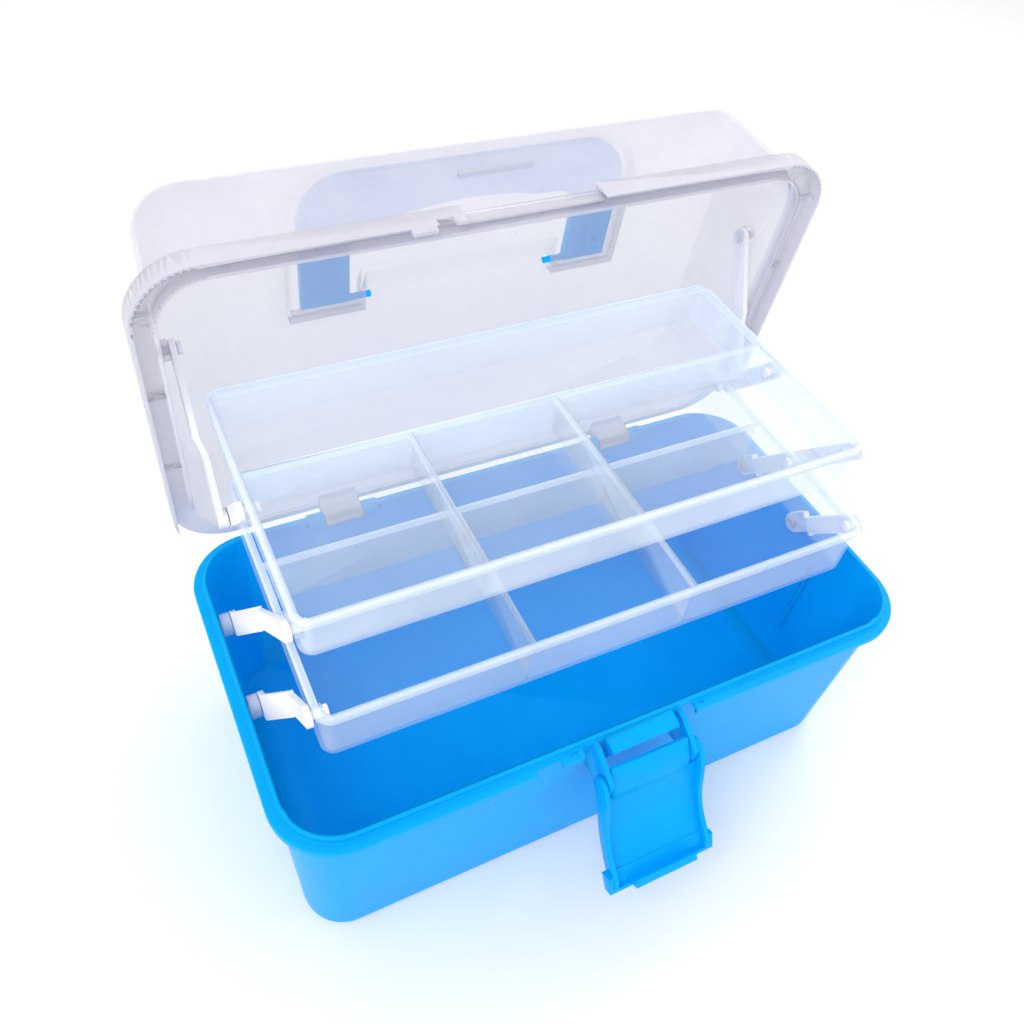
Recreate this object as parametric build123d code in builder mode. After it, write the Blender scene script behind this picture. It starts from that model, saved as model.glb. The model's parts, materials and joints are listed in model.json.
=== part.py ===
from build123d import *
import os
from math import cos, radians, sin, tan

os.makedirs("parts", exist_ok=True)

# Carry-handle art box shown open: a deep tub, a hinged see-through lid and two trays
# carried by swinging straps. The origin is the centre of the tub's footprint on the
# ground, +Z is up, the latch side faces -Y and the box is longest along X.

# ---- tub ----
foot_x = 150.5            # half length of the tub at the ground
foot_y = 77.0             # half depth of the tub at the ground
wall = 2.0
tub_draft = 2.64          # degrees the walls lean outward
lip_top = 108.0           # top of the thin inner lip
flange_top = 104.5        # top of the flange that the lid lands on
flange_x = 160.0
flange_y = 86.5
flange_corner = 29.7
foot_corner = 20.0

# ---- lid, in its own frame: u runs forward from the hinge, v up from the mouth ----
hinge_y = 81.6
hinge_z = 104.7
open_angle = 84.4
lid_front = 167.7         # front edge of the lid's flange
lid_rear = -0.8
lid_height = 58.7
lid_wall = 1.8
shelf_low = 8.0
shelf_high = 9.8
pocket_floor = 53.2       # outer face of the handle pocket's floor
handle_u = 91.0           # handle pivot
handle_v = 55.4
lid_pin_u = 110.5
lid_pin_v = 23.2

# ---- trays ----
tray_x = 134.5            # half length over the rim
tray_depth = 137.0
tray_wall = 1.8
upper_front = -34.5
upper_rim = 185.0
upper_height = 24.3
lower_front = -53.7
lower_rim = 147.9
lower_height = 30.1

# ---- straps ----
strap_angle = 131.4       # lean of the straps from +Y, in the YZ plane
long_length = 103.0
short_length = 60.0
rear_length = 43.0
strap_thick = 2.6
tray_side = 135.3         # inner face of the straps beside the trays
tub_side = 145.4          # inner face of the straps beside the tub wall
pin_radius = 2.0
run_gap = 0.05            # running clearance of every pin, on the radius

lean_y = cos(radians(strap_angle))
lean_z = sin(radians(strap_angle))
long_base = (40.1, 99.3)
short_base = (-6.5, 99.3)
long_top = (long_base[0] + long_length * lean_y, long_base[1] + long_length * lean_z)
long_mid = (long_base[0] + short_length * lean_y, long_base[1] + short_length * lean_z)
short_top = (short_base[0] + short_length * lean_y, short_base[1] + short_length * lean_z)
rear_low = (63.4, long_mid[1])
rear_top = (rear_low[0] + rear_length * lean_y, rear_low[1] + rear_length * lean_z)

# ---- latch ----
latch_x = -1.0            # centre line of the latch
latch_y = -96.5           # latch pivot
latch_z = 91.0
latch_hang = 31.2         # degrees the open latch stands off the vertical
latch_length = 55.0
ear_in = 20.5
ear_out = 23.0
cheek_in = 23.6
cheek_out = 25.8

lid_plane = Plane(
    origin=(0, hinge_y, hinge_z),
    x_dir=(1, 0, 0),
    z_dir=(0, sin(radians(open_angle)), cos(radians(open_angle))),
)
# side view of the lid: sketch x is u (forward), sketch y is v (up), normal is -X
lid_side = Plane(
    origin=(0, hinge_y, hinge_z),
    x_dir=(0, -cos(radians(open_angle)), sin(radians(open_angle))),
    z_dir=(-1, 0, 0),
)
# side view of the latch: sketch x runs pivot to tip, sketch y towards the dished face
latch_side = Plane(
    origin=(latch_x, latch_y, latch_z),
    x_dir=(0, -sin(radians(latch_hang)), -cos(radians(latch_hang))),
    z_dir=(-1, 0, 0),
)


def rod(centre, x_low, x_high, radius, mode=Mode.ADD):
    """A round bar along X in the part being built, centred on the given (y, z)."""
    with BuildSketch(Plane.YZ.offset(x_low)) as section:
        with Locations(centre):
            Circle(radius)
    extrude(section.sketch, amount=x_high - x_low, mode=mode)


def rod_pair(centre, x_low, x_high, radius, mode=Mode.ADD):
    """The same round bar at the +X end and at the -X end of the box."""
    rod(centre, x_low, x_high, radius, mode)
    rod(centre, -x_high, -x_low, radius, mode)


def lid_point(u, v):
    """(y, z) of a point of the open lid."""
    angle = radians(open_angle)
    return (hinge_y - u * cos(angle) + v * sin(angle), hinge_z + u * sin(angle) + v * cos(angle))


# ================= tub =================
with BuildPart() as base_tub:
    with BuildSketch():
        RectangleRounded(2 * foot_x, 2 * foot_y, foot_corner)
    extrude(amount=lip_top, taper=-tub_draft)
    fillet(base_tub.edges().group_by(Axis.Z)[0], 5)
    fillet(base_tub.edges().group_by(Axis.Z)[-1], 0.7)
    # flange plate with a short skirt hanging from its outer edge
    with BuildSketch(Plane.XY.offset(flange_top - 1.9)):
        RectangleRounded(2 * flange_x, 2 * flange_y, flange_corner)
    extrude(amount=1.9)
    fillet(base_tub.edges().filter_by_position(Axis.Z, flange_top - 0.01, flange_top + 0.01), 0.8)
    with BuildSketch(Plane.XY.offset(flange_top - 3.8)):
        RectangleRounded(2 * flange_x, 2 * flange_y, flange_corner)
        RectangleRounded(2 * flange_x - 3.4, 2 * flange_y - 3.4, flange_corner - 1.7, mode=Mode.SUBTRACT)
    extrude(amount=1.9)
    # gap in the flange for the latch, and a small notch that a tab of the lid drops into
    with Locations((latch_x, -flange_y, 102)):
        Box(58, 8.6, 12, mode=Mode.SUBTRACT)
    with Locations((-46.7, -flange_y - 1, 102)):
        Box(12.6, 6.4, 12, mode=Mode.SUBTRACT)
    # gaps in the rear flange for the lid's two hinge knuckles
    with Locations((-80, 86, 102), (80, 86, 102)):
        Box(20.4, 10, 14, mode=Mode.SUBTRACT)
    # hollow inside
    with BuildSketch(Plane.XY.offset(wall)):
        shrink = wall - wall * tan(radians(tub_draft))
        RectangleRounded(2 * (foot_x - shrink), 2 * (foot_y - shrink), foot_corner - wall)
    extrude(amount=lip_top, taper=-tub_draft, mode=Mode.SUBTRACT)
    # ledge above the latch, held by a rib at each end
    with BuildSketch(Plane.YZ.offset(latch_x - 17)):
        Polygon((-81, 106.2), (-86.5, 105.8), (-90, 104.4), (-90, 102.6), (-81, 102.6), align=None)
    extrude(amount=34)
    with BuildSketch(Plane.YZ.offset(latch_x - 17)):
        Polygon((-80.5, 103), (-89.6, 103), (-85, 90), (-80.5, 86), align=None)
    extrude(amount=2)
    with BuildSketch(Plane.YZ.offset(latch_x + 15)):
        Polygon((-80.5, 103), (-89.6, 103), (-85, 90), (-80.5, 86), align=None)
    extrude(amount=2)
    # ears that carry the latch
    for ear_start in (latch_x - ear_out, latch_x + ear_in):
        with BuildSketch(Plane.YZ.offset(ear_start)):
            Polygon((-80.5, 103.5), (-86, 103.5), (-100.6, 95), (-100.6, 88), (-97, 86.4), (-80.5, 83), align=None)
        extrude(amount=ear_out - ear_in)
    rod((latch_y, latch_z), latch_x - 30, latch_x + 30, pin_radius + run_gap, Mode.SUBTRACT)
    # small bumps on the flange beside the latch
    with Locations((-34.5, -84.6, flange_top), (32.5, -84.6, flange_top)):
        Sphere(1.1)
    # hinge knuckles: lugs at each end of the two rear gaps, and room for the lid's knuckle
    for side in (-1, 1):
        rod((hinge_y, hinge_z), side * 80 - 10.2, side * 80 + 10.2, 4.7, Mode.SUBTRACT)
        for lug in (-18, 10.2):
            with BuildSketch(Plane.YZ.offset(side * 80 + lug)):
                with Locations((hinge_y, hinge_z)):
                    Circle(4.2)
                Polygon((80.2, 92), (82.6, 92), (85.8, 103), (80.2, 104), align=None)
            extrude(amount=7.8)
        rod((hinge_y, hinge_z), side * 80 - 20, side * 80 + 20, pin_radius + run_gap, Mode.SUBTRACT)
    # upright stiffening ribs inside the end walls
    for side in (-1, 1):
        with BuildSketch(Plane.XZ.offset(25.4)):
            Polygon(
                (side * 148.2, 27), (side * 150.7, 27), (side * 153.1, 79), (side * 150.6, 79),
                align=None,
            )
        extrude(amount=2.2)
    # holes for the strap pins in the end walls
    for pin in (long_base, short_base):
        rod(pin, -165, 165, 2.55, Mode.SUBTRACT)

base_tub.part.label = "base_tub"
export_step(base_tub.part, "parts/base_tub.step")

# ================= hinge pins =================
with BuildPart() as hinge_pins:
    for side in (-1, 1):
        rod((hinge_y, hinge_z), side * 80 - 18, side * 80 + 18, pin_radius)

hinge_pins.part.label = "hinge_pins"
export_step(hinge_pins.part, "parts/hinge_pins.step")

# ================= strap pins on the tub =================
# collar against the wall, shank through the wall, journal in the strap, and a head
with BuildPart() as base_strap_pins:
    for pin in (long_base, short_base):
        rod_pair(pin, 148.4, 152.8, 5.4)
        rod_pair(pin, 152.8, 154.8, 2.5)
        rod_pair(pin, 144.6, 148.4, pin_radius)
        rod_pair(pin, 143.2, 145.0, 3.0)

base_strap_pins.part.label = "base_strap_pins"
export_step(base_strap_pins.part, "parts/base_strap_pins.step")


# ================= lid =================
def lid_ring(half_x, rear, front, corner, mode=Mode.ADD):
    """Rounded rectangle in the lid's plan, from u=rear to u=front, in the sketch being drawn."""
    with Locations((0, -(rear + front) / 2)):
        RectangleRounded(2 * half_x, front - rear, corner, mode=mode)


with BuildPart() as lid_shell:
    # tapering box, outside then inside
    with BuildSketch(lid_plane.offset(shelf_low)):
        lid_ring(151.3, 0.2, 164.0, 25)
    with BuildSketch(lid_plane.offset(lid_height)):
        lid_ring(147.0, 0.2, 164.0, 21)
    loft()
    fillet(lid_shell.edges().group_by(Axis(lid_plane.origin, lid_plane.z_dir))[-1], 4.8)
    with BuildSketch(lid_plane.offset(shelf_low - 0.01)):
        lid_ring(149.5, 1.9, 162.2, 23.2)
    with BuildSketch(lid_plane.offset(lid_height - lid_wall)):
        lid_ring(145.2, 1.9, 162.2, 19.2)
    loft(mode=Mode.SUBTRACT)
    # shelf around the mouth
    with BuildSketch(lid_plane.offset(shelf_low)):
        lid_ring(flange_x, lid_rear, lid_front, 28)
        lid_ring(149.3, 2.4, 159.6, 22.5, mode=Mode.SUBTRACT)
    extrude(amount=shelf_high - shelf_low)
    # skirt hanging from the shelf, sloped away to nothing at the rear
    with BuildSketch(lid_plane):
        lid_ring(flange_x, lid_rear, lid_front, 28)
        lid_ring(flange_x - 1.6, lid_rear - 20, lid_front - 1.6, 26.4, mode=Mode.SUBTRACT)
    extrude(amount=shelf_low)
    with BuildSketch(lid_side.offset(-165)):
        Polygon((-10, -1), (8, -1), (17, shelf_low - 0.6), (-10, shelf_low - 0.6), align=None)
    extrude(amount=330, mode=Mode.SUBTRACT)
    # inner lip that drops inside the tub's lip, on the two ends and the front
    with BuildSketch(lid_plane.offset(3.4)):
        lid_ring(151, -10, 159.5, 22.5)
        lid_ring(149.3, -30, 157.9, 20.9, mode=Mode.SUBTRACT)
        with Locations((0, 0)):
            Rectangle(330, 60, mode=Mode.SUBTRACT)
    extrude(amount=shelf_high - 3.4)
    # gussets between lip and skirt
    for side in (-1, 1):
        for gusset_u in (60, 103, 146):
            with BuildSketch(lid_plane.offset(shelf_low)):
                with Locations((side * 154.8, -gusset_u)):
                    Rectangle(8, 1.6)
            extrude(amount=-3.0)
    # gap in the front flange for the latch, closed again by the front wall running down
    with BuildSketch(lid_plane.offset(-1)):
        with Locations((3.5, -168.4)):
            Rectangle(63, 8.6)
    extrude(amount=14, mode=Mode.SUBTRACT)
    with BuildSketch(lid_plane.offset(3.7)):
        with Locations((3.5, -163.1)):
            Rectangle(66, 1.5)
    extrude(amount=5.4)
    # locating tab on the skirt and the small cut beside it
    with BuildSketch(lid_plane.offset(-3)):
        with Locations((-46.7, -166.9)):
            Rectangle(10.4, 1.6)
    extrude(amount=4)
    with BuildSketch(lid_plane.offset(-1)):
        with Locations((-36.5, -lid_front)):
            Rectangle(7.4, 6)
    extrude(amount=4.5, mode=Mode.SUBTRACT)
    # ledge on the front wall that the latch hooks over
    with BuildSketch(lid_side.offset(-latch_x - 17)):
        Polygon((163, 31), (166.4, 32.2), (166.4, 33.2), (163, 33.8), align=None)
    extrude(amount=34)
    # body of the handle pocket
    with BuildSketch(lid_plane.offset(pocket_floor - lid_wall)):
        lid_ring(86.8, 107.2, 159, 24)
        lid_ring(86.8, 107.2, 130, 2)
        for side in (-1, 1):
            with Locations((side * 68.5, -100)):
                Rectangle(36.6, 30.4)
    extrude(amount=lid_height - 1 - pocket_floor + lid_wall)
    with BuildSketch(lid_side.offset(-50.2)):
        Polygon((96, 57), (107.4, pocket_floor - lid_wall), (112, pocket_floor - lid_wall), (112, 57), align=None)
    extrude(amount=100.4)
    # the pocket itself: a wide bay for the grip, a well for each leg, a sloping side between
    with BuildSketch(lid_plane.offset(pocket_floor)):
        lid_ring(85, 109, 157.2, 22.2)
        lid_ring(85, 109, 130, 1)
        for side in (-1, 1):
            with Locations((side * 68.5, -99)):
                Rectangle(33, 24.8)
    extrude(amount=12, mode=Mode.SUBTRACT)
    with BuildSketch(lid_side.offset(-52)):
        Polygon((98, lid_height), (109, pocket_floor), (110, pocket_floor), (110, 65), (98, 65), align=None)
    extrude(amount=104, mode=Mode.SUBTRACT)
    # pivot holes for the handle, and a window over the end of each handle pin
    with BuildSketch(lid_side.offset(-54)):
        with Locations((handle_u, handle_v)):
            Circle(1.6 + run_gap)
    extrude(amount=108, mode=Mode.SUBTRACT)
    with BuildSketch(lid_plane.offset(pocket_floor - 3)):
        for side in (-1, 1):
            with Locations((side * 48.6, -handle_u)):
                Rectangle(2.6, 3.4)
    extrude(amount=12, mode=Mode.SUBTRACT)
    # seats for the two strap pins on the end walls
    rod_pair(lid_point(lid_pin_u, lid_pin_v), 144.9, 149.2, 4.6)
    rod_pair(lid_point(lid_pin_u, lid_pin_v), 143, 152, pin_radius + run_gap, Mode.SUBTRACT)
    # hinge knuckles with a web up to the rear shelf
    for side in (-1, 1):
        with BuildSketch(lid_side.offset(side * 80 - 9.8)):
            Circle(4.2)
            Polygon((-4.2, 0), (4.2, 0), (7, shelf_high), (-0.5, shelf_high), align=None)
        extrude(amount=19.6)
        with BuildSketch(lid_side.offset(side * 80 - 12)):
            Circle(pin_radius + run_gap)
        extrude(amount=24, mode=Mode.SUBTRACT)

lid_shell.part.label = "lid_shell"
export_step(lid_shell.part, "parts/lid_shell.step")

# ================= strap pins on the lid =================
lid_pin = lid_point(lid_pin_u, lid_pin_v)
with BuildPart() as lid_strap_pins:
    rod_pair(lid_pin, 141.2, 149.4, pin_radius)
    rod_pair(lid_pin, 139.8, 141.4, 3.0)

lid_strap_pins.part.label = "lid_strap_pins"
export_step(lid_strap_pins.part, "parts/lid_strap_pins.step")

# ================= handle =================
grip_half = 80.5
leg_inner = 57.5
grip_front = 156.6
grip_rear = 137.0
handle_low = 53.4
handle_thick = 5.6
with BuildPart() as handle:
    with BuildSketch(lid_plane.offset(handle_low)):
        lid_ring(grip_half, 100, grip_front, 22)
        lid_ring(grip_half, handle_u, 125, 0.8)
        lid_ring(leg_inner, 60, grip_rear - 4, 13, mode=Mode.SUBTRACT)
        with Locations((0, -(grip_rear - 10))):
            Ellipse(44, 10, mode=Mode.SUBTRACT)
    extrude(amount=handle_thick)
    # softened outer and inner edges
    fillet(handle.edges().group_by(Axis(lid_plane.origin, lid_plane.z_dir))[-1], 1.6)
    # rounded pivot end on each leg, with a pin pointing at the middle of the lid
    for side in (-1, 1):
        rod(lid_point(handle_u, handle_v), side * 69 - 11.5, side * 69 + 11.5, 2.0)
    rod_pair(lid_point(handle_u, handle_v), 46.6, leg_inner + 0.5, 1.6)
    # lengthwise grooves on the underside of the legs
    with BuildSketch(lid_plane.offset(handle_low)):
        for side in (-1, 1):
            with Locations((side * 65.6, -114), (side * 72.4, -114)):
                RectangleRounded(2.2, 40, 1.0)
    extrude(amount=1.6, mode=Mode.SUBTRACT)

handle.part.label = "handle"
export_step(handle.part, "parts/handle.step")

# ================= latch =================
with BuildPart() as latch:
    # dished plate between the cheeks
    with BuildSketch(latch_side):
        with BuildLine():
            inner = Spline((7.2, 0.2), (16, -2.6), (29, -4.2), (42, -3.2), (latch_length, -1.2))
            outer = Spline((7.2, -1.8), (16, -4.6), (29, -6.2), (42, -5.2), (latch_length, -3.2))
            Line(inner @ 0, outer @ 0)
            Line(inner @ 1, outer @ 1)
        make_face()
    extrude(amount=cheek_in + 0.5, both=True)
    # tongue of the plate that reaches up between the ears
    with BuildSketch(latch_side):
        Polygon((-8, 2.4), (3, 2.4), (9.5, -0.4), (9.5, -2.4), (2, 0.4), (-8, 0.4), align=None)
    extrude(amount=19.8, both=True)
    # cheeks with a rounded top about the pivot
    for side in (-1, 1):
        with BuildSketch(latch_side.offset(side * (cheek_in + cheek_out) / 2)):
            Circle(4.8)
            with BuildLine():
                front = Spline((-1.2, 4.65), (9, 4.6), (22, 1.0), (36, 0.2), (47, 2.6), (latch_length + 1, 1.4))
                back = Spline((-1.5, -4.55), (16, -5.0), (29, -6.2), (42, -5.2), (latch_length + 1, -3.2))
                Line(front @ 0, back @ 0)
                Line(front @ 1, back @ 1)
            make_face()
        extrude(amount=(cheek_out - cheek_in) / 2, both=True)
    # cheeks flare outward at the tip
    with BuildSketch(latch_side):
        Polygon((47, 2.4), (latch_length + 1, 1.4), (latch_length + 1, -3.2), (47, -4.4), align=None)
    extrude(amount=28, both=True)
    with BuildSketch(latch_side):
        Polygon((40, 6), (latch_length - 0.8, 6), (latch_length - 0.8, -1.0), (40, -3.0), align=None)
    extrude(amount=cheek_in, both=True, mode=Mode.SUBTRACT)
    # hooked lip across the tip
    with BuildSketch(latch_side):
        Polygon(
            (latch_length - 1.8, -2), (latch_length, -2), (latch_length, 5.5),
            (latch_length - 4, 5.5), (latch_length - 4, 4.3), (latch_length - 1.8, 3.4),
            align=None,
        )
    extrude(amount=16.5, both=True)
    # pivot stubs that turn in the ears
    for side in (-1, 1):
        low = latch_x + side * (cheek_in + 20.1) / 2 - (cheek_in - 20.1) / 2 - 0.3
        rod((latch_y, latch_z), low, low + cheek_in - 20.1 + 0.6, pin_radius)

latch.part.label = "latch"
export_step(latch.part, "parts/latch.step")


# ================= trays =================
def tray_body(front, rim_top, height):
    """Shallow drawn box with a thick rim band, in the part being built."""
    middle = front + tray_depth / 2
    floor_low = rim_top - height
    with BuildSketch(Plane.XY.offset(floor_low)) as plan:
        with Locations((0, middle)):
            RectangleRounded(2 * tray_x - 3.0, tray_depth - 3.0, 6)
    extrude(plan.sketch, amount=height, taper=-1.0)
    with BuildSketch(Plane.XY.offset(rim_top - 3.4)) as band:
        with Locations((0, middle)):
            RectangleRounded(2 * tray_x, tray_depth, 7)
    extrude(band.sketch, amount=3.4)
    fillet(faces().sort_by(Axis.Z)[-1].edges(), 0.8)


def tray_hollow(front, rim_top, height):
    """The space inside the tray's walls."""
    middle = front + tray_depth / 2
    with BuildSketch(Plane.XY.offset(rim_top - height + tray_wall)) as plan:
        with Locations((0, middle)):
            RectangleRounded(2 * (tray_x - 1.5 - tray_wall), tray_depth - 3.0 - 2 * tray_wall, 3)
    extrude(plan.sketch, amount=height, taper=-1.0, mode=Mode.SUBTRACT)


def tray_dividers(front, rim_top, height, long_y, short_x):
    """One long divider along X and short ones from it to the front wall."""
    floor_low = rim_top - height + 1
    with BuildSketch(Plane.XY.offset(floor_low)) as plan:
        with Locations((0, long_y)):
            Rectangle(2 * tray_x - 5.4, 1.6)
        for divider_x in short_x:
            with Locations((divider_x, (front + 2.4 + long_y) / 2)):
                Rectangle(1.6, long_y - front - 2.4)
    extrude(plan.sketch, amount=height - 1.5)


with BuildPart() as upper_tray:
    tray_body(upper_front, upper_rim, upper_height)
    fillet(upper_tray.edges().group_by(Axis.Z)[0], 3)
    tray_hollow(upper_front, upper_rim, upper_height)
    tray_dividers(upper_front, upper_rim, upper_height, 48.0, (-58.0, 14.0))
    for pin in (long_top, rear_top):
        rod_pair(pin, 130.6, 134.3, 3.9)
        rod_pair(pin, 129, 136, pin_radius + run_gap, Mode.SUBTRACT)
    # raised ring at the moulding gate
    with BuildSketch(Plane.XY.offset(upper_rim - upper_height + tray_wall)):
        with Locations((0, 35)):
            Circle(4.2)
            Circle(3.3, mode=Mode.SUBTRACT)
            Circle(1.4)
    extrude(amount=0.6)

upper_tray.part.label = "upper_tray"
export_step(upper_tray.part, "parts/upper_tray.step")

with BuildPart() as lower_tray:
    tray_body(lower_front, lower_rim, lower_height)
    fillet(lower_tray.edges().group_by(Axis.Z)[0], 3)
    tray_hollow(lower_front, lower_rim, lower_height)
    tray_dividers(lower_front, lower_rim, lower_height, 29.0, (-42.0, 38.5))
    for pin in (short_top, long_mid, rear_low):
        rod_pair(pin, 130.6, 134.3, 3.5)
        rod_pair(pin, 129, 136, pin_radius + run_gap, Mode.SUBTRACT)

lower_tray.part.label = "lower_tray"
export_step(lower_tray.part, "parts/lower_tray.step")


# ================= straps =================
def strap(start, end, side, low_x, high_x, jog, low_wide, high_wide):
    """Flat strap between two (y, z) points that steps from low_x to high_x over the jog."""
    run_y = end[0] - start[0]
    run_z = end[1] - start[1]
    run = (run_y**2 + run_z**2) ** 0.5
    along = Plane(origin=(0, start[0], start[1]), x_dir=(0, run_y, run_z), z_dir=(0, run_z, -run_y))
    with BuildSketch(along) as foot:
        Polygon(
            (0, side * low_x), (0, side * (low_x + strap_thick)),
            (jog[0] + 1, side * (low_x + strap_thick)), (jog[1], side * (high_x + strap_thick)),
            (jog[1] - 1, side * high_x), (jog[0], side * low_x),
            align=None,
        )
    extrude(foot.sketch, amount=low_wide / 2, both=True)
    with BuildSketch(along) as arm:
        Polygon(
            (jog[1] - 1.5, side * high_x), (jog[1] - 1.5, side * (high_x + strap_thick)),
            (run, side * (high_x + strap_thick)), (run, side * high_x),
            align=None,
        )
    extrude(arm.sketch, amount=high_wide / 2, both=True)
    strap_disc(start, side, low_x, low_x + strap_thick, low_wide / 2)
    strap_disc(end, side, high_x, high_x + strap_thick, high_wide / 2)


def strap_disc(centre, side, low, high, radius, mode=Mode.ADD):
    """Round feature along X on the strap at one end of the box."""
    rod(centre, min(side * low, side * high), max(side * low, side * high), radius, mode)


def snap_stub(centre, side):
    """Stub that passes through a tray's wall and ends in a knob inside the tray."""
    strap_disc(centre, side, 129.6, tray_side + 0.2, pin_radius)
    strap_disc(centre, side, 128.4, 130.2, 2.6)


with BuildPart() as long_link_r:
    strap(long_base, long_top, 1, tub_side, tray_side, (11, 25), 11, 9)
    strap_disc(long_base, 1, 140, 150, pin_radius + run_gap, Mode.SUBTRACT)
    snap_stub(long_mid, 1)
    snap_stub(long_top, 1)

long_link_r.part.label = "long_link_r"
export_step(long_link_r.part, "parts/long_link_r.step")

with BuildPart() as long_link_l:
    strap(long_base, long_top, -1, tub_side, tray_side, (11, 25), 11, 9)
    strap_disc(long_base, -1, 140, 150, pin_radius + run_gap, Mode.SUBTRACT)
    snap_stub(long_mid, -1)
    snap_stub(long_top, -1)

long_link_l.part.label = "long_link_l"
export_step(long_link_l.part, "parts/long_link_l.step")

with BuildPart() as lower_link_r:
    strap(short_base, short_top, 1, tub_side, tray_side, (11, 25), 11, 9)
    strap_disc(short_base, 1, 140, 150, pin_radius + run_gap, Mode.SUBTRACT)
    snap_stub(short_top, 1)

lower_link_r.part.label = "lower_link_r"
export_step(lower_link_r.part, "parts/lower_link_r.step")

with BuildPart() as lower_link_l:
    strap(short_base, short_top, -1, tub_side, tray_side, (11, 25), 11, 9)
    strap_disc(short_base, -1, 140, 150, pin_radius + run_gap, Mode.SUBTRACT)
    snap_stub(short_top, -1)

lower_link_l.part.label = "lower_link_l"
export_step(lower_link_l.part, "parts/lower_link_l.step")

with BuildPart() as rear_strap_r:
    strap(rear_low, rear_top, 1, tray_side, tray_side, (11, 25), 9, 9)
    snap_stub(rear_low, 1)
    snap_stub(rear_top, 1)

rear_strap_r.part.label = "rear_strap_r"
export_step(rear_strap_r.part, "parts/rear_strap_r.step")

with BuildPart() as rear_strap_l:
    strap(rear_low, rear_top, -1, tray_side, tray_side, (11, 25), 9, 9)
    snap_stub(rear_low, -1)
    snap_stub(rear_top, -1)

rear_strap_l.part.label = "rear_strap_l"
export_step(rear_strap_l.part, "parts/rear_strap_l.step")

# straps from the lower tray's rear lug up to the lid, with a round boss at the tray end
with BuildPart() as lid_link_r:
    strap(rear_low, lid_pin, 1, 139.9, 141.9, (30, 42), 9, 8)
    strap_disc(lid_pin, 1, 140, 152, pin_radius + run_gap, Mode.SUBTRACT)
    strap_disc(rear_low, 1, 138.3, 140.2, 4.8)

lid_link_r.part.label = "lid_link_r"
export_step(lid_link_r.part, "parts/lid_link_r.step")

with BuildPart() as lid_link_l:
    strap(rear_low, lid_pin, -1, 139.9, 141.9, (30, 42), 9, 8)
    strap_disc(lid_pin, -1, 140, 152, pin_radius + run_gap, Mode.SUBTRACT)
    strap_disc(rear_low, -1, 138.3, 140.2, 4.8)

lid_link_l.part.label = "lid_link_l"
export_step(lid_link_l.part, "parts/lid_link_l.step")
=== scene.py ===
# %% [markdown]
# # An art supply box, standing open
# The box is a glossy blue tub with a see-through lid. Two clear trays climb out of it on white
# straps when the lid opens. This lesson dresses the engineering model of the box for a picture:
# it loads the parts, gives every plastic its own finish, softens the parts' edges, grows the pins
# the straps turn on, and lays the table they stand on.
# Every length is in metres, and every part stays where the engineering model puts it.

# %% Load the parts
import json
from math import cos, radians, sin

import bmesh
import bpy
from mathutils import Matrix, Vector

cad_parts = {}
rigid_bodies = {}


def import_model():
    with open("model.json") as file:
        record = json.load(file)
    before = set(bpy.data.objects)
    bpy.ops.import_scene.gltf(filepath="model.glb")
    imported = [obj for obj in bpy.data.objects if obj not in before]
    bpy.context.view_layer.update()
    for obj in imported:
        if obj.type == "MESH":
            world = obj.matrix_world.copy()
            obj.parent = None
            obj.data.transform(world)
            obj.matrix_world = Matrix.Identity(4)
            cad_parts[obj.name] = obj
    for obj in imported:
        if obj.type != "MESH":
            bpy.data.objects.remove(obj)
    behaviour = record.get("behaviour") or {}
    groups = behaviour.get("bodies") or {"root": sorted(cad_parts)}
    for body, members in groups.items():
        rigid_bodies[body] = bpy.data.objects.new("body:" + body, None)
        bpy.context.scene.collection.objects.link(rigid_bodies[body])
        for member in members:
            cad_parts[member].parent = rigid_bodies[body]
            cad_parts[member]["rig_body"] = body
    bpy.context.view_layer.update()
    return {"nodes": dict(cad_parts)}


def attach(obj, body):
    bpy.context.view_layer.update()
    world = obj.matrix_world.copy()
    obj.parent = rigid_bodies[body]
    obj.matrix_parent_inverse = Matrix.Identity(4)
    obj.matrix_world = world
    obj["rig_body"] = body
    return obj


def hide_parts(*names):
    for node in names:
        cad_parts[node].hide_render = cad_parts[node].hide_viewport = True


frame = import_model()
nodes = frame["nodes"]
scene = bpy.context.scene

# %% [markdown]
# ## Camera
# The camera looks down into the open box from its left front corner, a little more than an arm's
# length away. A camera is turned by a matrix whose columns are its right, up and backward
# directions. They are worked out from three plain angles: how far round it stands, how steeply it
# looks down, and how much it is tilted to one side.

# %% Place the camera
CAMERA_PLACE = Vector((-0.17378, -0.23132, 0.46447))
CAMERA_ROUND = radians(-31.84)
CAMERA_DOWN = radians(47.21)
CAMERA_TILT = radians(8.01)
LENS_MM = 32.948

level = cos(CAMERA_DOWN)
back = Vector((sin(CAMERA_ROUND) * level, -cos(CAMERA_ROUND) * level, sin(CAMERA_DOWN)))
level_right = (-back).cross(Vector((0, 0, 1))).normalized()
level_up = level_right.cross(-back)
right = level_right * cos(CAMERA_TILT) + level_up * sin(CAMERA_TILT)
up = level_up * cos(CAMERA_TILT) - level_right * sin(CAMERA_TILT)

camera_data = bpy.data.cameras.new("table_camera")
camera_data.lens = LENS_MM
camera_data.sensor_width = 36
camera = bpy.data.objects.new("table_camera", camera_data)
turn = Matrix((right, up, back)).transposed().to_4x4()
camera.matrix_world = Matrix.Translation(CAMERA_PLACE) @ turn
scene.collection.objects.link(camera)
scene.camera = camera
print("camera distance to the tub's middle:", round((CAMERA_PLACE - Vector((0, 0, 0.1))).length, 3))

# %% [markdown]
# ## Light and floor
# Clear plastic shows whatever surrounds it, so the room matters more than any lamp. A bright even
# sky gives the soft white look of a light tent. Two large soft lamps add the gentle highlights
# that run along the rim and the straps.

# %% Light the table
TENT_STRENGTH = 0.93

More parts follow.
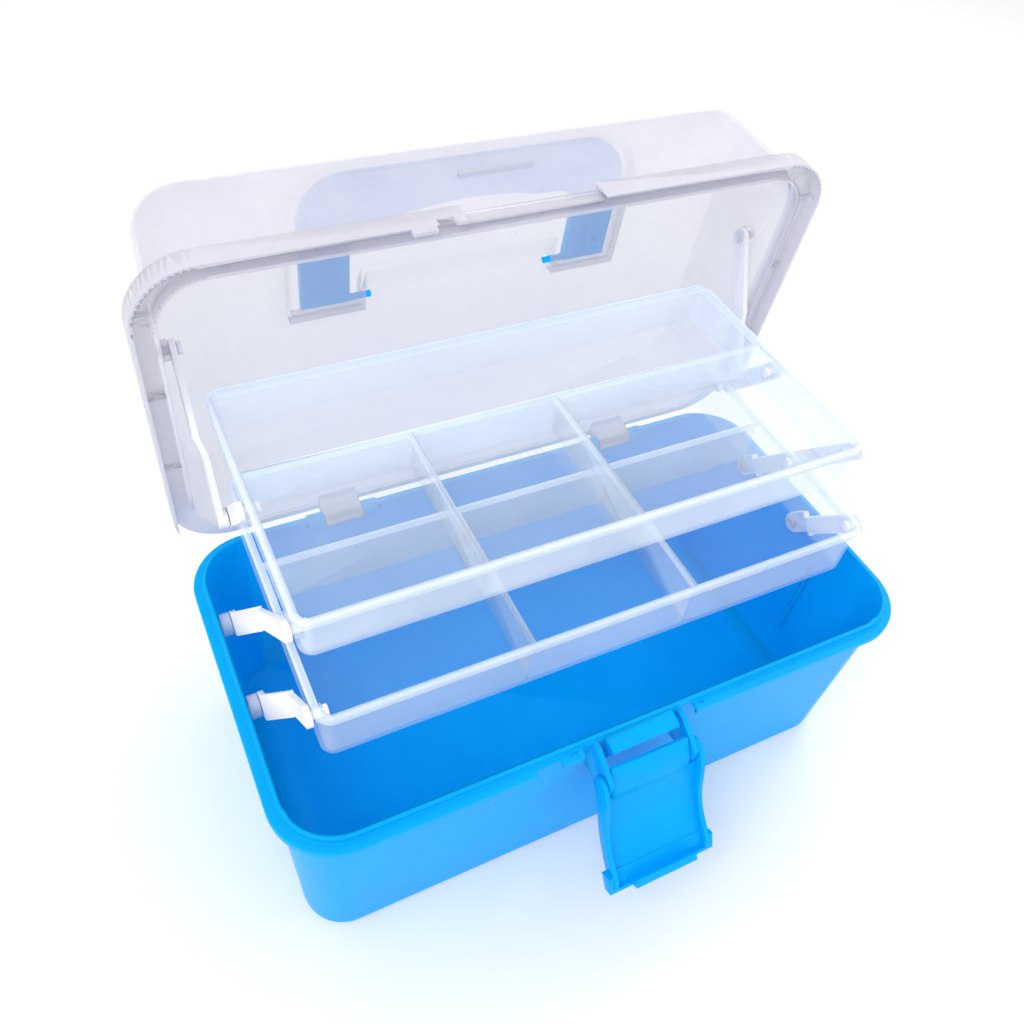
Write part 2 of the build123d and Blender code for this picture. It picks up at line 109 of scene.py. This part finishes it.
world = bpy.data.worlds.new("light_tent")
world.use_nodes = True
sky = world.node_tree.nodes["Background"]
sky.inputs["Color"].default_value = (1.0, 1.0, 1.0, 1)
sky.inputs["Strength"].default_value = TENT_STRENGTH
scene.world = world
scene.view_settings.view_transform = "Standard"


def soft_lamp(name, place, aim, size, watts):
    """A square lamp that faces the point aim."""
    data = bpy.data.lights.new(name, "AREA")
    data.shape = "RECTANGLE"
    data.size, data.size_y = size
    data.energy = watts
    lamp = bpy.data.objects.new(name, data)
    lamp.location = place
    lamp.rotation_euler = (Vector(aim) - Vector(place)).to_track_quat("-Z", "Y").to_euler()
    scene.collection.objects.link(lamp)
    return lamp


soft_lamp("key_lamp", place=(-0.7, -0.5, 1.2), aim=(0, 0, 0.08), size=(0.9, 0.7), watts=7.0)
soft_lamp("rim_lamp", place=(0.8, 0.5, 0.9), aim=(0, 0, 0.1), size=(0.6, 0.6), watts=3.0)


# %% [markdown]
# ## Node helpers
# A material is a small graph. These two helpers add a node and join two sockets, so that each
# finish below reads as a short list of what it is made of.

# %% Helpers for node graphs
def add_node(tree, kind, label="", **settings):
    """A node of a kind, with inputs set by name where they are given."""
    node = tree.nodes.new(kind)
    node.label = label
    for key, value in settings.items():
        if key in node.inputs:
            node.inputs[key].default_value = value
        else:
            setattr(node, key, value)
    return node


def join(tree, source, target):
    tree.links.new(source, target)


# %% [markdown]
# ## The moulded skin
# Injection-moulded plastic is never perfectly smooth: the mould leaves a faint orange peel, and
# handling leaves slightly duller patches. Every plastic here shows both, so they are one node
# group with named inputs. It gives a roughness, a height for the bump and the patches themselves.

# %% Build the moulded-skin group
def build_moulded_skin():
    group = bpy.data.node_groups.new("moulded_skin", "ShaderNodeTree")
    face = group.interface
    face.new_socket("Position", in_out="INPUT", socket_type="NodeSocketVector")
    amounts = {"Peel Scale": 420.0, "Patch Scale": 26.0, "Smoothest": 0.2, "Roughest": 0.35}
    for name, value in amounts.items():
        socket = face.new_socket(name, in_out="INPUT", socket_type="NodeSocketFloat")
        socket.default_value = value
    for name in ("Roughness", "Height", "Patches"):
        face.new_socket(name, in_out="OUTPUT", socket_type="NodeSocketFloat")
    start = add_node(group, "NodeGroupInput")
    end = add_node(group, "NodeGroupOutput")
    peel = add_node(group, "ShaderNodeTexNoise", "orange peel", Detail=2.0, Roughness=0.5)
    patch = add_node(group, "ShaderNodeTexNoise", "handled patches", Detail=4.0, Roughness=0.6)
    spread = add_node(group, "ShaderNodeMapRange", "roughness range")
    for noise, scale in ((peel, "Peel Scale"), (patch, "Patch Scale")):
        join(group, start.outputs["Position"], noise.inputs["Vector"])
        join(group, start.outputs[scale], noise.inputs["Scale"])
    spread.inputs["From Min"].default_value = 0.3
    spread.inputs["From Max"].default_value = 0.7
    join(group, patch.outputs["Fac"], spread.inputs["Value"])
    join(group, start.outputs["Smoothest"], spread.inputs["To Min"])
    join(group, start.outputs["Roughest"], spread.inputs["To Max"])
    join(group, spread.outputs["Result"], end.inputs["Roughness"])
    join(group, peel.outputs["Fac"], end.inputs["Height"])
    join(group, patch.outputs["Fac"], end.inputs["Patches"])
    return group


moulded_skin = build_moulded_skin()
print("moulded skin:", [item.name for item in moulded_skin.interface.items_tree])


# %% [markdown]
# ## Haze in clear mouldings
# A clear tray is clearest through its thin flat floor, milkier through its walls, and milkiest at
# its thick rim. The rim is found by measuring how far a point lies along the part's own upward
# direction, and the floor by how squarely its surface faces that direction.

# %% Build the haze group
def build_moulding_haze():
    group = bpy.data.node_groups.new("moulding_haze", "ShaderNodeTree")
    face = group.interface
    for name in ("Position", "Normal", "Up"):
        face.new_socket(name, in_out="INPUT", socket_type="NodeSocketVector")
    amounts = {
        "Patches": 0.5, "Rim From": 0.18, "Rim To": 0.181, "Floor": 0.1, "Wall": 0.25, "Rim": 0.6,
    }
    for name, value in amounts.items():
        socket = face.new_socket(name, in_out="INPUT", socket_type="NodeSocketFloat")
        socket.default_value = value
    face.new_socket("Alpha", in_out="OUTPUT", socket_type="NodeSocketFloat")
    start = add_node(group, "NodeGroupInput")
    end = add_node(group, "NodeGroupOutput")
    height = add_node(group, "ShaderNodeVectorMath", "height up the part", operation="DOT_PRODUCT")
    facing = add_node(group, "ShaderNodeVectorMath", "how level it is", operation="DOT_PRODUCT")
    level = add_node(group, "ShaderNodeMath", "up or down alike", operation="ABSOLUTE")
    rim = add_node(group, "ShaderNodeMapRange", "inside the rim")
    base = add_node(group, "ShaderNodeMix", "floor or wall", data_type="FLOAT")
    full = add_node(group, "ShaderNodeMix", "rim or not", data_type="FLOAT")
    drift = add_node(group, "ShaderNodeMapRange", "drift of haze")
    drift.inputs["To Min"].default_value = 0.85
    drift.inputs["To Max"].default_value = 1.15
    scale = add_node(group, "ShaderNodeMath", "apply drift", operation="MULTIPLY", use_clamp=True)
    for node, source in ((height, "Position"), (facing, "Normal")):
        join(group, start.outputs[source], node.inputs[0])
        join(group, start.outputs["Up"], node.inputs[1])
    join(group, facing.outputs["Value"], level.inputs[0])
    join(group, height.outputs["Value"], rim.inputs["Value"])
    join(group, start.outputs["Rim From"], rim.inputs["From Min"])
    join(group, start.outputs["Rim To"], rim.inputs["From Max"])
    join(group, level.outputs[0], base.inputs["Factor"])
    join(group, start.outputs["Wall"], base.inputs["A"])
    join(group, start.outputs["Floor"], base.inputs["B"])
    join(group, rim.outputs["Result"], full.inputs["Factor"])
    join(group, base.outputs["Result"], full.inputs["A"])
    join(group, start.outputs["Rim"], full.inputs["B"])
    join(group, start.outputs["Patches"], drift.inputs["Value"])
    join(group, full.outputs["Result"], scale.inputs[0])
    join(group, drift.outputs["Result"], scale.inputs[1])
    join(group, scale.outputs[0], end.inputs["Alpha"])
    return group


moulding_haze = build_moulding_haze()
print("haze:", [item.name for item in moulding_haze.interface.items_tree])


# %% [markdown]
# ## Plastics
# Three plastics make the box. The tub, latch and handle are glossy blue. The lid and trays are
# natural polypropylene, which could be made as a rough glass. Thin mouldings let most light
# straight through, though, so a partly see-through surface is quicker and closer to them, and the
# haze group says how see-through each part of it is. The straps are an opaque milky white. The
# blue and the trays carry a little painted glow: painted light that stands for the light wandering
# inside the plastic and lifts the shade in the tub and the trays. The handle is a lighter copy of
# the blue with a stronger painted glow, painted light that lifts the shade it sits in under the lid.

# %% Mix a plastic
def plastic(name, colour, deep, skin, bump, shader, clarity=None):
    """A plastic whose colour drifts between colour and deep; clarity sets its haze, if any."""
    material = bpy.data.materials.new(name)
    material.use_nodes = True
    tree = material.node_tree
    body = tree.nodes["Principled BSDF"]
    for socket, value in shader.items():
        body.inputs[socket].default_value = value
    place = add_node(tree, "ShaderNodeTexCoord")
    surface = add_node(tree, "ShaderNodeGroup", "moulded skin", node_tree=moulded_skin)
    for socket, value in skin.items():
        surface.inputs[socket].default_value = value
    join(tree, place.outputs["Object"], surface.inputs["Position"])
    join(tree, surface.outputs["Roughness"], body.inputs["Roughness"])
    ramp = add_node(tree, "ShaderNodeValToRGB", "colour drift")
    ramp.color_ramp.elements[0].position = 0.35
    ramp.color_ramp.elements[0].color = (*deep, 1)
    ramp.color_ramp.elements[1].position = 0.65
    ramp.color_ramp.elements[1].color = (*colour, 1)
    join(tree, surface.outputs["Patches"], ramp.inputs["Fac"])
    join(tree, ramp.outputs["Color"], body.inputs["Base Color"])
    relief = add_node(tree, "ShaderNodeBump", "peel relief", Strength=bump, Distance=0.0004)
    join(tree, surface.outputs["Height"], relief.inputs["Height"])
    join(tree, relief.outputs["Normal"], body.inputs["Normal"])
    if clarity:
        haze = add_node(tree, "ShaderNodeGroup", "moulding haze", node_tree=moulding_haze)
        for socket, value in clarity.items():
            haze.inputs[socket].default_value = value
        join(tree, place.outputs["Object"], haze.inputs["Position"])
        join(tree, place.outputs["Normal"], haze.inputs["Normal"])
        join(tree, surface.outputs["Patches"], haze.inputs["Patches"])
        join(tree, haze.outputs["Alpha"], body.inputs["Alpha"])
    return material


LID_OPEN = radians(84.4)
HINGE_Y, HINGE_Z = 0.0816, 0.1047
LID_UP = (0, sin(LID_OPEN), cos(LID_OPEN))
LID_MOUTH = HINGE_Y * LID_UP[1] + HINGE_Z * LID_UP[2]
blue_plastic = plastic(
    "blue_polypropylene", (0.002, 0.37, 0.84), (0.001, 0.34, 0.80),
    {"Smoothest": 0.26, "Roughest": 0.36}, 0.03,
    {
        "IOR": 1.36, "Specular IOR Level": 0.10,
        # Painted glow: painted light that lifts the shade inside the tub and on the latch.
        "Emission Color": (0.0, 0.40, 0.85, 1), "Emission Strength": 0.10,
    },
)
# The handle is a lighter copy of the blue with a stronger painted glow: painted light that lifts the
# shade it sits in under the lid.
handle_painted_glow_plastic = plastic(
    "blue_handle_painted_glow", (0.003, 0.42, 0.88), (0.002, 0.39, 0.84),
    {"Smoothest": 0.30, "Roughest": 0.42}, 0.03,
    {
        "IOR": 1.36, "Specular IOR Level": 0.15,
        "Emission Color": (0.0, 0.42, 0.90, 1), "Emission Strength": 0.30,
    },
)
clear_lid = plastic(
    "clear_lid_polypropylene", (0.735, 0.725, 0.805), (0.71, 0.70, 0.78),
    {"Smoothest": 0.32, "Roughest": 0.42}, 0.03,
    {"IOR": 1.35, "Specular IOR Level": 0.3},
    {
        "Up": LID_UP, "Rim From": LID_MOUTH + 0.0105, "Rim To": LID_MOUTH + 0.0095,
        "Floor": 0.33, "Wall": 0.44, "Rim": 0.66,
    },
)
TRAY_COLOURS = ((0.82, 0.875, 0.98), (0.80, 0.855, 0.96))
TRAY_SKIN = {"Smoothest": 0.26, "Roughest": 0.36}
# The trays' cyan emission is a painted glow: painted light that lifts the shade of the trays and of
# the tub seen through them.
TRAY_SHADER_WITH_GLOW = {
    "IOR": 1.35, "Specular IOR Level": 0.3,
    "Emission Color": (0.62, 0.84, 1.0, 1), "Emission Strength": 0.17,
}
upper_clear = plastic(
    "clear_upper_tray", *TRAY_COLOURS, TRAY_SKIN, 0.03, TRAY_SHADER_WITH_GLOW,
    {"Up": (0, 0, 1), "Rim From": 0.1810, "Rim To": 0.1816, "Floor": 0.13, "Wall": 0.34, "Rim": 0.62},
)
lower_clear = plastic(
    "clear_lower_tray", *TRAY_COLOURS, TRAY_SKIN, 0.03, TRAY_SHADER_WITH_GLOW,
    {"Up": (0, 0, 1), "Rim From": 0.1439, "Rim To": 0.1445, "Floor": 0.04, "Wall": 0.20, "Rim": 0.55},
)
strap_plastic = plastic(
    "milky_strap_nylon", (0.90, 0.89, 0.95), (0.86, 0.85, 0.92),
    {"Smoothest": 0.38, "Roughest": 0.5}, 0.15,
    {"IOR": 1.5},
)
pin_plastic = plastic(
    "clear_pin_polypropylene", (0.85, 0.88, 0.95), (0.80, 0.84, 0.92),
    {"Smoothest": 0.3, "Roughest": 0.42}, 0.1,
    {"IOR": 1.4},
    {"Up": (0, 0, 1), "Rim From": 0.5, "Rim To": 0.6, "Floor": 0.55, "Wall": 0.5, "Rim": 0.6},
)
steel = plastic(
    "hinge_steel", (0.60, 0.60, 0.62), (0.52, 0.52, 0.54),
    {"Smoothest": 0.22, "Roughest": 0.38}, 0.1,
    {"Metallic": 1.0},
)
FINISHES = {
    "base_tub": blue_plastic, "latch": blue_plastic, "handle": handle_painted_glow_plastic,
    "lid_shell": clear_lid, "upper_tray": upper_clear, "lower_tray": lower_clear,
    "base_strap_pins": pin_plastic, "lid_strap_pins": pin_plastic, "hinge_pins": steel,
}
print("finishes:", len(bpy.data.materials))


# %% [markdown]
# ## Softened copies of the parts
# Real mouldings have no knife edges: every edge is rounded a little, and that round catches the
# light. The big mouldings already carry small rounds, so their loose triangles are joined, their
# gentle curves are shaded smooth, and the shading is weighted towards the large flats so that
# these stay even. The small parts get a narrow bevel along every sharp edge instead.

# %% Round the edges of each part
EDGE_ROUND = 0.0006
BEVELLED = ("latch", "long_link_r", "long_link_l", "lower_link_r", "lower_link_l",
            "rear_strap_r", "rear_strap_l", "lid_link_r", "lid_link_l")


def plain_mesh(piece):
    """What a piece looks like with its modifiers, as a plain mesh; the modifiers are removed."""
    bpy.context.view_layer.update()
    graph = bpy.context.evaluated_depsgraph_get()
    finished = bpy.data.meshes.new_from_object(piece.evaluated_get(graph))
    piece.modifiers.clear()
    return finished


def softened(node_name):
    """A copy of a part, joined up and smoothed, standing in for that part."""
    source = nodes[node_name]
    mesh = source.data.copy()
    mesh.materials.clear()
    mesh.materials.append(FINISHES.get(node_name, strap_plastic))
    shape = bmesh.new()
    shape.from_mesh(mesh)
    bmesh.ops.remove_doubles(shape, verts=shape.verts, dist=2e-6)
    if node_name in BEVELLED:
        bmesh.ops.dissolve_limit(shape, angle_limit=radians(0.6), verts=shape.verts, edges=shape.edges)
    shape.to_mesh(mesh)
    shape.free()
    mesh.polygons.foreach_set("use_smooth", [True] * len(mesh.polygons))
    piece = bpy.data.objects.new(node_name + "_moulded", mesh)
    scene.collection.objects.link(piece)
    if node_name in BEVELLED:
        bevel = piece.modifiers.new("edge_round", "BEVEL")
        bevel.width = EDGE_ROUND
        bevel.segments = 2
        bevel.limit_method = "ANGLE"
        bevel.angle_limit = radians(38)
        bevel.harden_normals = True
        bevel.use_clamp_overlap = True
    else:
        mesh.set_sharp_from_angle(angle=radians(32))
        even = piece.modifiers.new("even_flats", "WEIGHTED_NORMAL")
        even.keep_sharp = True
        even.weight = 90
    piece.data = plain_mesh(piece)
    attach(piece, source["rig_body"])
    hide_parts(node_name)
    return piece


GROWN = ("base_strap_pins", "lid_strap_pins")
for name in sorted(set(nodes) - set(GROWN)):
    piece = softened(name)
    print(name, "faces:", len(piece.data.polygons))

# %% [markdown]
# ## Pins grown from a rule
# The straps turn on pins that all follow one rule: a head, a journal, a collar and a shank in a
# row along X, the same at every place, and turned about on the far side of the box. A Geometry
# Nodes tree stacks the four rounds, puts one stack on each point of a small mesh and turns those
# with negative X. The points stand a hair to either side of the middle, so that the tree can tell
# the sides apart, and the pins are moved back by that hair afterwards.

# %% Build the pin rule
PIN_PARTS = ("Head", "Journal", "Collar", "Shank")
PIN_SIDES = 40


def build_pin_rule():
    group = bpy.data.node_groups.new("pin_rule", "GeometryNodeTree")
    face = group.interface
    face.new_socket("Points", in_out="INPUT", socket_type="NodeSocketGeometry")
    for part in PIN_PARTS:
        for size in ("Radius", "From", "To"):
            face.new_socket(part + " " + size, in_out="INPUT", socket_type="NodeSocketFloat")
    face.new_socket("Finish", in_out="INPUT", socket_type="NodeSocketMaterial")
    face.new_socket("Pins", in_out="OUTPUT", socket_type="NodeSocketGeometry")
    start = add_node(group, "NodeGroupInput")
    end = add_node(group, "NodeGroupOutput")
    stack = add_node(group, "GeometryNodeJoinGeometry", "one pin")
    for part in PIN_PARTS:
        depth = add_node(group, "ShaderNodeMath", part + " length", operation="SUBTRACT")
        middle = add_node(group, "ShaderNodeMath", part + " middle", operation="ADD")
        half = add_node(group, "ShaderNodeMath", "half", operation="MULTIPLY")
        half.inputs[1].default_value = 0.5
        place = add_node(group, "ShaderNodeCombineXYZ")
        tube = add_node(group, "GeometryNodeMeshCylinder", part)
        tube.inputs["Vertices"].default_value = PIN_SIDES
        along = add_node(group, "GeometryNodeTransform", "lay along X")
        along.inputs["Rotation"].default_value = (0, radians(90), 0)
        join(group, start.outputs[part + " To"], depth.inputs[0])
        join(group, start.outputs[part + " From"], depth.inputs[1])
        join(group, start.outputs[part + " To"], middle.inputs[0])
        join(group, start.outputs[part + " From"], middle.inputs[1])
        join(group, middle.outputs[0], half.inputs[0])
        join(group, half.outputs[0], place.inputs["X"])
        join(group, start.outputs[part + " Radius"], tube.inputs["Radius"])
        join(group, depth.outputs[0], tube.inputs["Depth"])
        join(group, tube.outputs["Mesh"], along.inputs["Geometry"])
        join(group, place.outputs["Vector"], along.inputs["Translation"])
        join(group, along.outputs["Geometry"], stack.inputs["Geometry"])
    where = add_node(group, "GeometryNodeInputPosition")
    parts = add_node(group, "ShaderNodeSeparateXYZ")
    far = add_node(group, "FunctionNodeCompare", "far side", data_type="FLOAT", operation="LESS_THAN")
    half_turn = add_node(group, "ShaderNodeMath", "half a turn", operation="MULTIPLY")
    half_turn.inputs[1].default_value = radians(180)
    turn_about = add_node(group, "ShaderNodeCombineXYZ")
    spread = add_node(group, "GeometryNodeInstanceOnPoints", "one pin per point")
    real = add_node(group, "GeometryNodeRealizeInstances")
    finish = add_node(group, "GeometryNodeSetMaterial")
    join(group, where.outputs["Position"], parts.inputs["Vector"])
    join(group, parts.outputs["X"], far.inputs["A"])
    join(group, far.outputs["Result"], half_turn.inputs[0])
    join(group, half_turn.outputs[0], turn_about.inputs["Z"])
    join(group, start.outputs["Points"], spread.inputs["Points"])
    join(group, stack.outputs["Geometry"], spread.inputs["Instance"])
    join(group, turn_about.outputs["Vector"], spread.inputs["Rotation"])
    join(group, spread.outputs["Instances"], real.inputs["Geometry"])
    join(group, real.outputs["Geometry"], finish.inputs["Geometry"])
    join(group, start.outputs["Finish"], finish.inputs["Material"])
    join(group, finish.outputs["Geometry"], end.inputs["Pins"])
    return group


pin_rule = build_pin_rule()
print("pin rule inputs:", sum(item.in_out == "INPUT" for item in pin_rule.interface.items_tree))

# %% Grow the pins
ASIDE = 0.0001


def grow_pins(name, axes, sizes):
    """Pins on both ends of the box at each (y, z) of axes, standing in for a part's pins."""
    points = bpy.data.meshes.new(name + "_rule")
    points.from_pydata([(side * ASIDE, y, z) for y, z in axes for side in (1, -1)], [], [])
    piece = bpy.data.objects.new(name + "_grown", points)
    scene.collection.objects.link(piece)
    rule = piece.modifiers.new("pin_rule", "NODES")
    rule.node_group = pin_rule
    sockets = {
        item.name: item.identifier
        for item in pin_rule.interface.items_tree if item.in_out == "INPUT"
    }
    for key, value in sizes.items():
        rule[sockets[key]] = value
    rule[sockets["Finish"]] = FINISHES[name]
    grown = plain_mesh(piece)
    for vertex in grown.vertices:
        vertex.co.x -= ASIDE if vertex.co.x > 0 else -ASIDE
    grown.polygons.foreach_set("use_smooth", [True] * len(grown.polygons))
    grown.set_sharp_from_angle(angle=radians(40))
    piece.data = grown
    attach(piece, nodes[name]["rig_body"])
    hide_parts(name)
    print(name, "grown faces:", len(grown.polygons))
    return piece


def pin_sizes(**spans):
    """Millimetre (radius, from, to) triples by part name, as metres for the rule's inputs."""
    sizes = {}
    for part, span in spans.items():
        for key, value in zip(("Radius", "From", "To"), span):
            sizes[part.capitalize() + " " + key] = value / 1000
    return sizes


TUB_PIN_AXES = ((0.0401, 0.0993), (-0.0065, 0.0993))
LID_PIN_AXES = ((0.093906, 0.216937),)
grow_pins("base_strap_pins", TUB_PIN_AXES, pin_sizes(
    head=(3.0, 143.2, 145.0), journal=(2.0, 144.6, 148.6),
    collar=(5.4, 148.4, 152.8), shank=(2.5, 152.7, 154.8)))
grow_pins("lid_strap_pins", LID_PIN_AXES, pin_sizes(
    head=(3.0, 139.8, 141.4), journal=(2.0, 141.2, 145.0),
    collar=(2.0, 144.9, 147.2), shank=(2.0, 147.1, 149.4)))

# %% [markdown]
# ## The table top
# A plain pale floor, with a faint mottling so that it isn't a single flat tone.

# %% Lay the floor
floor_mesh = bpy.data.meshes.new("table_top")
FLOOR_HALF = 3.0
around = ((-1, -1), (1, -1), (1, 1), (-1, 1))
corners = [(x * FLOOR_HALF, y * FLOOR_HALF, 0) for x, y in around]
floor_mesh.from_pydata(corners, [], [(0, 1, 2, 3)])
floor = bpy.data.objects.new("table_top", floor_mesh)
scene.collection.objects.link(floor)
floor_mesh.materials.append(
    plastic(
        "table_paper", (0.95, 0.95, 0.95), (0.94, 0.94, 0.94),
        {"Smoothest": 0.8, "Roughest": 0.9}, 0.02, {"IOR": 1.3},
    )
)
